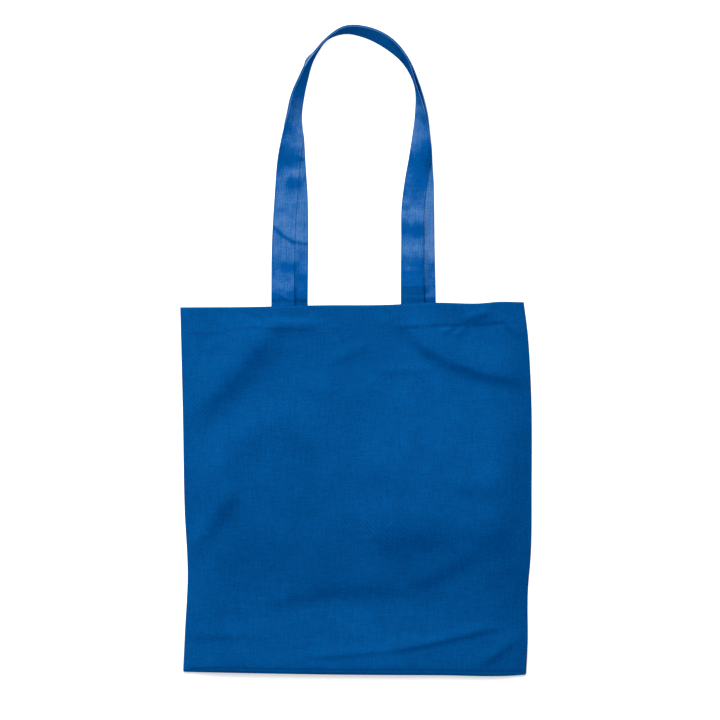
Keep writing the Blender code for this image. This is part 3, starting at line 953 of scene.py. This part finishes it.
def cotton(name, painted_light_tones, painted_light_way, slub, grainy, band=None):
    """Plain-woven cotton: a weave, slubs along both ways, fine grain and soft mottling, with painted
    highlight and shade by which way it faces. A strap gives the side and the painted leg shades of
    its band, and has ribs and painted shade of its own."""
    material, tree, shader = nodes_of(name)
    place = uv_place(tree, "cloth") if band else texture_place(tree, "Object")
    u, v = split(tree, place)
    weave = plain_weave(tree, u, v)
    slubs = math_node(tree, 'ADD', *(streaky_noise(tree, place, scales) for scales in SLUB_SCALES))
    mottle = noise_node(tree, place, MOTTLE_SCALE)
    grain = noise_node(tree, place, GRAIN_SCALE, roughness=0.7)
    streaks = streaky_noise(tree, place, STREAK_SCALES)

    tone = around_one(tree, slubs, 1.0, slub)
    for value, middle, strength in ((grain, 0.5, grainy), (mottle, 0.5, MOTTLE_TONE),
                                    (weave, WEAVE_MEAN, WEAVE_TONE)):
        tone = math_node(tree, 'MULTIPLY', tone, around_one(tree, value, middle, strength))
    relief = math_node(tree, 'MULTIPLY_ADD', slubs, 0.9, weave)
    relief = math_node(tree, 'MULTIPLY_ADD', grain, 0.8, relief)
    # The painted highlight and shade follow which way the surface faces
    painted_shading = facing_painted_light(tree, painted_light_way)
    if band:
        # Random patches, streaks and grain move the painted sheen and shade about along the band
        patches = noise_node(tree, place, PATCH_SCALE, 3.0, 0.65)
        painted_shading = made_uneven(tree, painted_shading, (patches, 0.50), (streaks, 0.20), (grain, 0.22))
        painted_shading = math_node(tree, 'MULTIPLY_ADD', ribs(tree, place, u), RIB_TONE, painted_shading)
        painted_shading = strap_painted_shades(tree, painted_shading, u, v, *band)
        relief = math_node(tree, 'MULTIPLY_ADD', streaks, 1.6, relief)
    else:
        # Mottling and streaks move the painted highlight and shade a little
        painted_shading = made_uneven(tree, painted_shading, (mottle, 0.06), (streaks, 0.03))
        lines = slant_lines(tree, place, u, v)
        tone = math_node(tree, 'MULTIPLY', tone, around_one(tree, lines, 0.0, SLANT_TONE))

    # The base colour is the ramp of painted highlight and shade, times the cloth's own tone
    tree.links.new(shaded(tree, ramp(tree, painted_shading, painted_light_tones), tone), shader.inputs["Base Color"])
    tree.links.new(math_node(tree, 'MULTIPLY_ADD', slubs, 0.1, 0.65), shader.inputs["Roughness"])
    shader.inputs["Specular IOR Level"].default_value = 0.0
    add_bump(tree, shader, relief, 0.6, 0.16 * MM)
    return material


def body_cotton():
    return cotton("body_cotton", BODY_PAINTED_LIGHT_TONES, BODY_PAINTED_LIGHT_WAY, slub=0.38, grainy=0.75)


def strap_cotton(name, painted_light_way, outer, leg_shades):
    return cotton(name, STRAP_PAINTED_LIGHT_TONES, painted_light_way, slub=0.3, grainy=0.7, band=(outer, leg_shades))


def sewing_thread():
    """Spun sewing thread with a fine twist."""
    material, tree, shader = nodes_of("blue_thread")
    twist = noise_node(tree, texture_place(tree, "Object"), TWIST_SCALE)
    stops = [(place, tuple(part * shade for part in THREAD_COLOUR))
             for place, shade in ((0.3, 0.7), (0.5, 1.0), (0.7, 1.3))]
    tree.links.new(ramp(tree, twist, stops), shader.inputs["Base Color"])
    shader.inputs["Roughness"].default_value = 0.6
    shader.inputs["Specular IOR Level"].default_value = 0.15
    add_bump(tree, shader, twist, 0.5, 0.1 * MM)
    return material


# The stage, light and camera

def seen_only(tree):
    """1 for what the camera sees, also in a reflection or through glass."""
    path = tree.nodes.new("ShaderNodeLightPath")
    seen = math_node(tree, 'MAXIMUM', path.outputs["Is Camera Ray"], path.outputs["Is Glossy Ray"])
    return math_node(tree, 'MAXIMUM', seen, path.outputs["Is Transmission Ray"])


def white_paper():
    """White paper that is whitened further where it is seen."""
    material, tree, shader = nodes_of("white_paper")
    shader.inputs["Base Color"].default_value = (0.8, 0.8, 0.8, 1)
    shader.inputs["Roughness"].default_value = 0.9
    shader.inputs["Specular IOR Level"].default_value = 0.1
    shader.inputs["Emission Color"].default_value = (1, 1, 1, 1)
    _, up = split(tree, texture_place(tree, "Object"))
    above = grown(tree, up, *FILL_CHANGES)
    fill = math_node(tree, 'MULTIPLY_ADD', above, FLOOR_FILL - FLOOR_FILL_BELOW, FLOOR_FILL_BELOW)
    tree.links.new(math_node(tree, 'MULTIPLY', seen_only(tree), fill), shader.inputs["Emission Strength"])
    return material


def make_floor():
    corners = ((-1, -1), (1, -1), (1, 1), (-1, 1))
    points = np.array([(x * FLOOR_HALF, y * FLOOR_HALF, FLOOR_LEVEL) for x, y in corners])
    floor = new_object("floor", points, [(0, 1, 2, 3)])
    floor.data.materials.append(white_paper())


def make_world():
    """Even white light, and plain white where the world itself is seen."""
    world = bpy.data.worlds.new("studio")
    bpy.context.scene.world = world
    world.use_nodes = True
    sky = world.node_tree
    lit = math_node(sky, 'MULTIPLY_ADD', seen_only(sky), 1 - WORLD_LIGHT, WORLD_LIGHT)
    sky.nodes["Background"].inputs["Color"].default_value = (1, 1, 1, 1)
    sky.links.new(lit, sky.nodes["Background"].inputs["Strength"])


def make_light():
    """One soft square light above the straps, aimed at the bag."""
    data = bpy.data.lights.new("key", 'AREA')
    data.shape = 'SQUARE'
    data.size = LIGHT_SIZE
    data.energy = LIGHT_POWER
    lamp = bpy.data.objects.new("key", data)
    bpy.context.scene.collection.objects.link(lamp)
    lamp.location = LIGHT_PLACE
    aim = np.array(LIGHT_TARGET) - np.array(LIGHT_PLACE)
    lamp.rotation_euler = Vector(aim).to_track_quat('-Z', 'Y').to_euler()


def make_camera():
    """Looks straight down, as the photograph does, from far enough to keep heights from shifting."""
    data = bpy.data.cameras.new("camera")
    data.sensor_width = SENSOR_WIDTH
    data.lens = SENSOR_WIDTH * (CAMERA_PLACE[2] - SEEN_LEVEL) / SEEN_WIDTH
    camera = bpy.data.objects.new("camera", data)
    bpy.context.scene.collection.objects.link(camera)
    camera.location = CAMERA_PLACE
    bpy.context.scene.camera = camera


def main():
    make_camera()
    make_floor()
    make_world()
    make_light()
    body = make_body(body_cotton())
    # The front strap's right leg is painted darker; the rear one's left leg darker and its right leg
    # lighter
    front_cotton = strap_cotton("front_strap_cotton", FRONT_PAINTED_LIGHT_WAY, 1, (0.0, -0.10))
    rear_cotton = strap_cotton("rear_strap_cotton", REAR_PAINTED_LIGHT_WAY, -1, (-0.06, 0.07))
    front = make_strap("front_strap_cloth", "front_strap", False, front_cotton)
    rear = make_strap("rear_strap_cloth", "rear_strap", True, rear_cotton)
    thread = sewing_thread()
    sewn = [hem_stitches(thread), strap_box_stitches(thread)]
    bpy.context.scene.view_settings.view_transform = 'Standard'


main()
